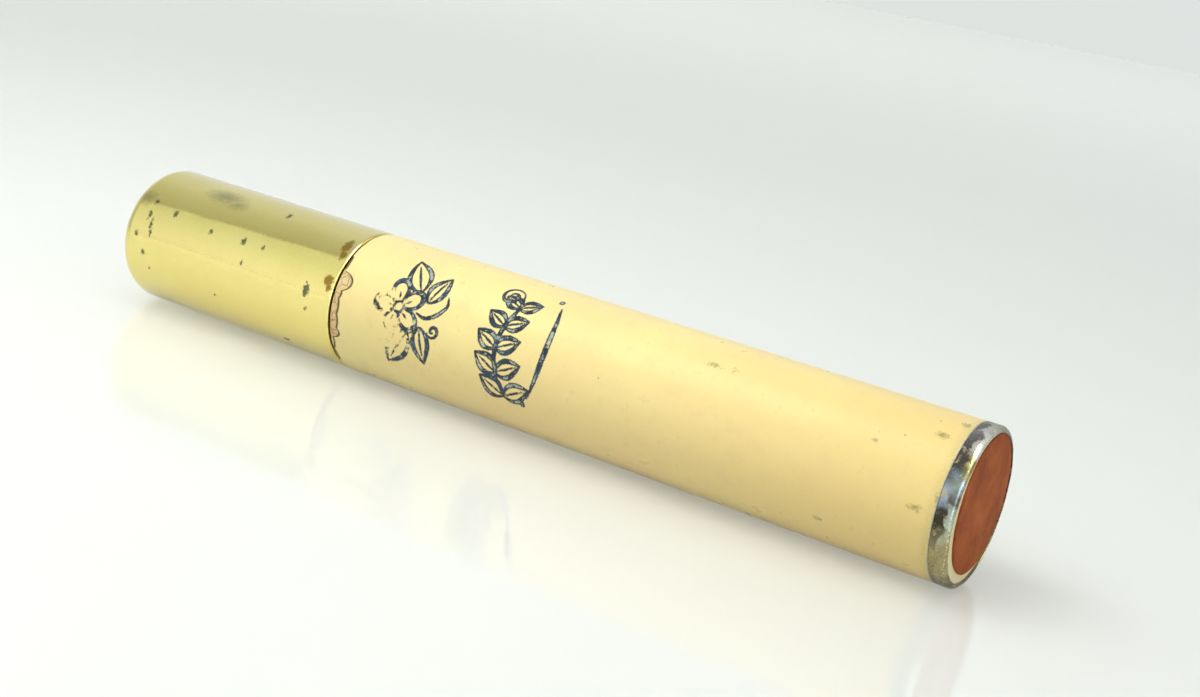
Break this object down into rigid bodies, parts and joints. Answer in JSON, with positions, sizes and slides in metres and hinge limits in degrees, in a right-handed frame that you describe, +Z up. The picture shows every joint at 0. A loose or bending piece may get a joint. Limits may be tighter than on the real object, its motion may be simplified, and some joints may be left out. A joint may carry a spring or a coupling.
{
  "type": "propelling stick case",
  "caption": "Slim pocket case with a colour stick: lacquered barrel, pull-off drawn cap, and a turning collar that raises the stick.",
  "frame": {"origin": "on the floor under the middle of the lying case, which is the centre of the bottom of its box", "axes": "+X along the case from the brass cap's closed end to the base's red disc, +Z up, -Y the side that carries the printed ornament"},
  "size_m": [0.086, 0.013, 0.013],
  "materials": {
    "gold_lacquered_brass": "drawn brass under aged clear gold lacquer, glossy, with small tarnish spots",
    "plain_brass": "drawn brass, satin",
    "cream_lacquer": "baked cream lacquer on brass, satin gloss, worn print, chipped at the mouth",
    "nickel_plate": "worn nickel plate with dark and khaki residue",
    "red_card": "brick-red coated card, slightly mottled",
    "pale_card": "plain pale card",
    "colour_wax": "moulded brick-red pigment in wax, soft sheen",
    "felt": "grey-brown pressed felt",
    "spring_steel": "bright spring wire"
  },
  "bodies": {
    "barrel": {"barrel_shell": "cream_lacquer", "mouth_ring": "plain_brass", "top_washer": "felt", "spiral_sleeve": "plain_brass", "base_cap": "nickel_plate", "backing_card": "pale_card", "shade_disc": "red_card"},
    "cap": {"cap_shell": "gold_lacquered_brass", "cap_liner": "plain_brass"},
    "guide": {"guide_tube": "plain_brass", "collar": "gold_lacquered_brass", "retainer_ring": "plain_brass", "brake_spring": "spring_steel"},
    "carriage": {"carriage_cup": "plain_brass", "cup_lugs": "plain_brass", "colour_stick": "colour_wax"}
  },
  "joints": [
    {"name": "cap_pull", "type": "slide", "parent": "barrel", "child": "cap", "axis": [-1, 0, 0], "range_m": [0, 0.04]},
    {"name": "twist", "type": "hinge", "parent": "barrel", "child": "guide", "pos_m": [0, 0, 0.0065], "axis": [-1, 0, 0], "range_deg": [0, 540]},
    {"name": "stick_rise", "type": "slide", "parent": "guide", "child": "carriage", "axis": [-1, 0, 0], "range_m": [0, 0.024]}
  ],
  "couplings": [
    {"joint": "stick_rise", "follows": "twist", "m_per_rad": 0.0025464}
  ]
}
